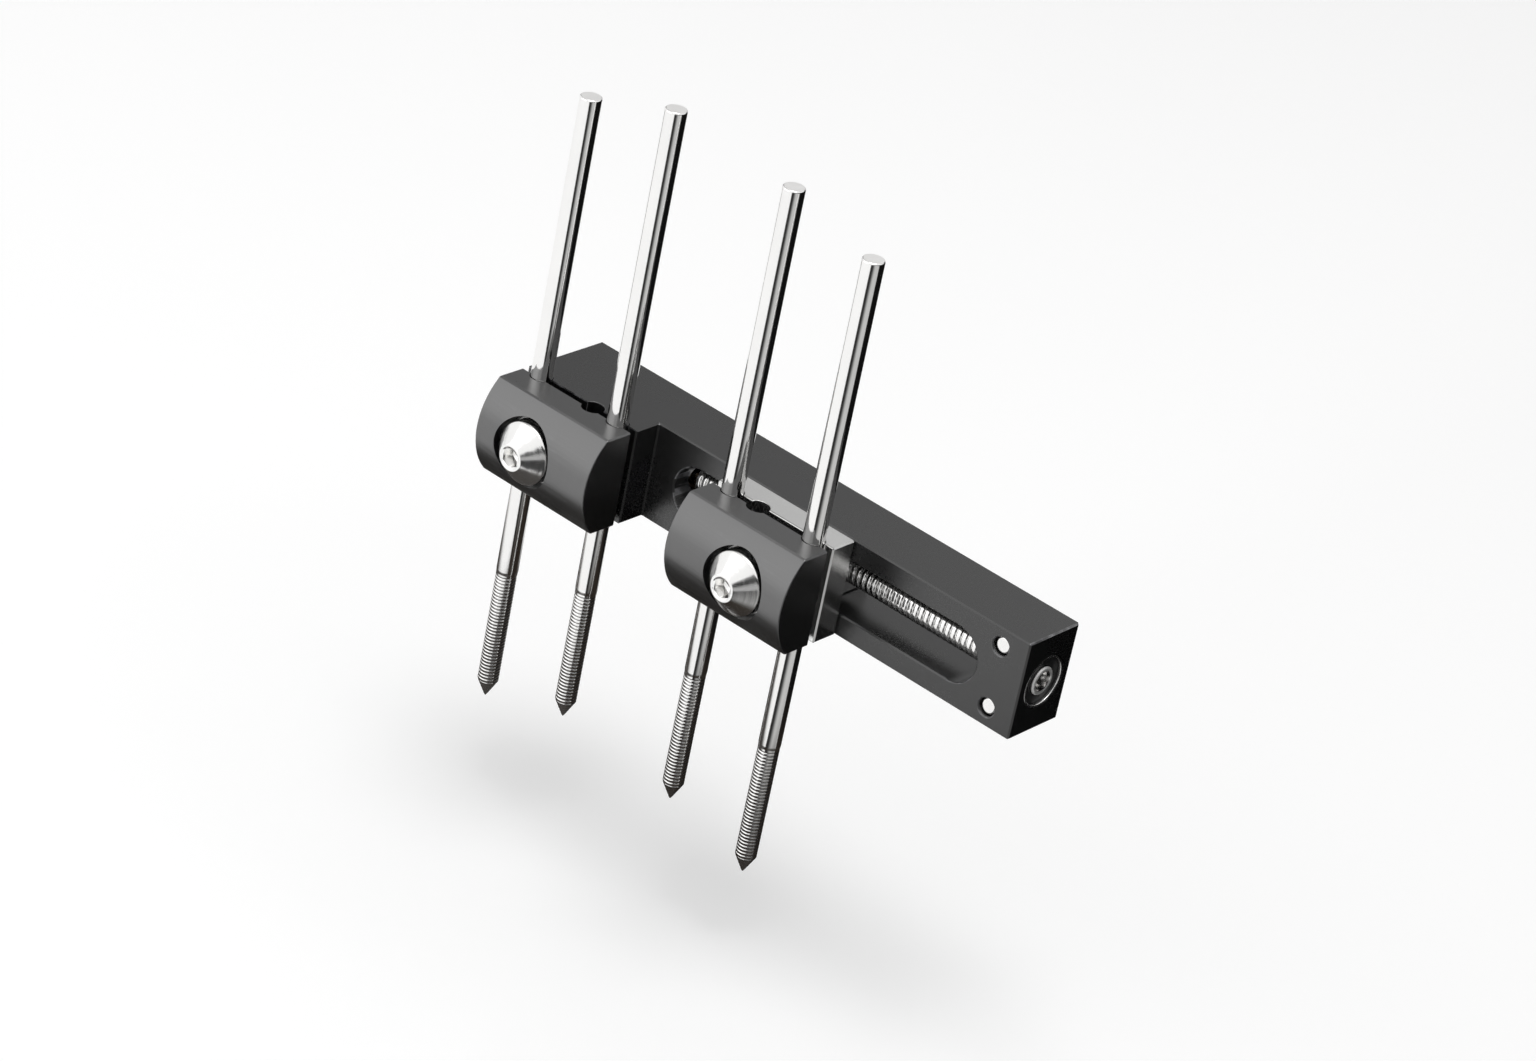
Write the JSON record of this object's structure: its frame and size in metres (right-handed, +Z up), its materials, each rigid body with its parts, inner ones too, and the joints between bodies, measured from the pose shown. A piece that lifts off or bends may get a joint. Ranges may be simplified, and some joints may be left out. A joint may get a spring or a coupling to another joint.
{
  "type": "mini rail external fixator",
  "caption": "Slotted rail with a fixed pin clamp at one end and a matching clamp on a carriage that a lead screw drives along the slot, holding parallel bone pins",
  "frame": {"origin": "on the rail's flat back face, at mid height, straight behind the middle of the fixed clamp", "axes": "+X along the rail from the fixed clamp to the drive socket of the lead screw, +Y out of the rail's back face, +Z up along the bone pins to their plain ends"},
  "size_m": [0.0834, 0.0245, 0.0952],
  "materials": {
    "black_anodised": "glossy black anodised, satin on the turned jaw fronts",
    "carriage_metal": "bare, finely ground and polished",
    "polished_steel": "polished stainless steel",
    "lead_steel": "bright rolled thread",
    "satin_steel": "satin stainless steel",
    "pin_steel": "polished implant steel",
    "bronze": "plain bearing bronze",
    "black_polymer": "black seal washer"
  },
  "bodies": {
    "rail_body": {"rail": "black_anodised", "pilot_bush": "bronze", "end_bush": "bronze", "thrust_washer": "bronze", "cover_washer": "black_polymer", "retaining_ring": "satin_steel", "upper_dowel": "polished_steel", "lower_dowel": "polished_steel", "fixed_insert": "satin_steel"},
    "lead_screw_body": {"lead_screw": "lead_steel"},
    "carriage_body": {"carriage": "carriage_metal", "lead_nut": "bronze", "sliding_insert": "satin_steel"},
    "fixed_jaw_body": {"fixed_jaw": "black_anodised", "fixed_washer": "satin_steel"},
    "sliding_jaw_body": {"sliding_jaw": "black_anodised", "sliding_washer": "satin_steel"},
    "fixed_screw_body": {"fixed_clamp_screw": "polished_steel"},
    "sliding_screw_body": {"sliding_clamp_screw": "polished_steel"},
    "pin_1_body": {"pin_1": "pin_steel"},
    "pin_2_body": {"pin_2": "pin_steel"},
    "pin_3_body": {"pin_3": "pin_steel"},
    "pin_4_body": {"pin_4": "pin_steel"}
  },
  "joints": [
    {"name": "lead_screw_turn", "type": "hinge", "parent": "rail_body", "child": "lead_screw_body", "pos_m": [0, -0.00492, 0], "axis": [1, 0, 0], "range_deg": [-8281, 3601]},
    {"name": "carriage_slide", "type": "slide", "parent": "rail_body", "child": "carriage_body", "axis": [1, 0, 0], "range_m": [-0.009, 0.0207]},
    {"name": "fixed_jaw_slide", "type": "slide", "parent": "rail_body", "child": "fixed_jaw_body", "axis": [0, -1, 0], "range_m": [0, 0.00098]},
    {"name": "fixed_clamp_screw_turn", "type": "hinge", "parent": "fixed_jaw_body", "child": "fixed_screw_body", "pos_m": [-0.0017, -0.0245, 0], "axis": [0, -1, 0], "range_deg": [0, 505]},
    {"name": "sliding_jaw_slide", "type": "slide", "parent": "carriage_body", "child": "sliding_jaw_body", "axis": [0, -1, 0], "range_m": [0, 0.00098]},
    {"name": "sliding_clamp_screw_turn", "type": "hinge", "parent": "sliding_jaw_body", "child": "sliding_screw_body", "pos_m": [0.03615, -0.0245, 0], "axis": [0, -1, 0], "range_deg": [0, 505]},
    {"name": "pin_1_slide", "type": "slide", "parent": "rail_body", "child": "pin_1_body", "axis": [0, 0, 1], "range_m": [-0.01, 0.01]},
    {"name": "pin_2_slide", "type": "slide", "parent": "rail_body", "child": "pin_2_body", "axis": [0, 0, 1], "range_m": [-0.01, 0.01]},
    {"name": "pin_3_slide", "type": "slide", "parent": "carriage_body", "child": "pin_3_body", "axis": [0, 0, 1], "range_m": [-0.01, 0.01]},
    {"name": "pin_4_slide", "type": "slide", "parent": "carriage_body", "child": "pin_4_body", "axis": [0, 0, 1], "range_m": [-0.01, 0.01]}
  ],
  "couplings": [
    {"joint": "lead_screw_turn", "follows": "carriage_slide", "rad_per_m": -6981.3},
    {"joint": "fixed_clamp_screw_turn", "follows": "fixed_jaw_slide", "rad_per_m": 8976},
    {"joint": "sliding_clamp_screw_turn", "follows": "sliding_jaw_slide", "rad_per_m": 8976}
  ]
}
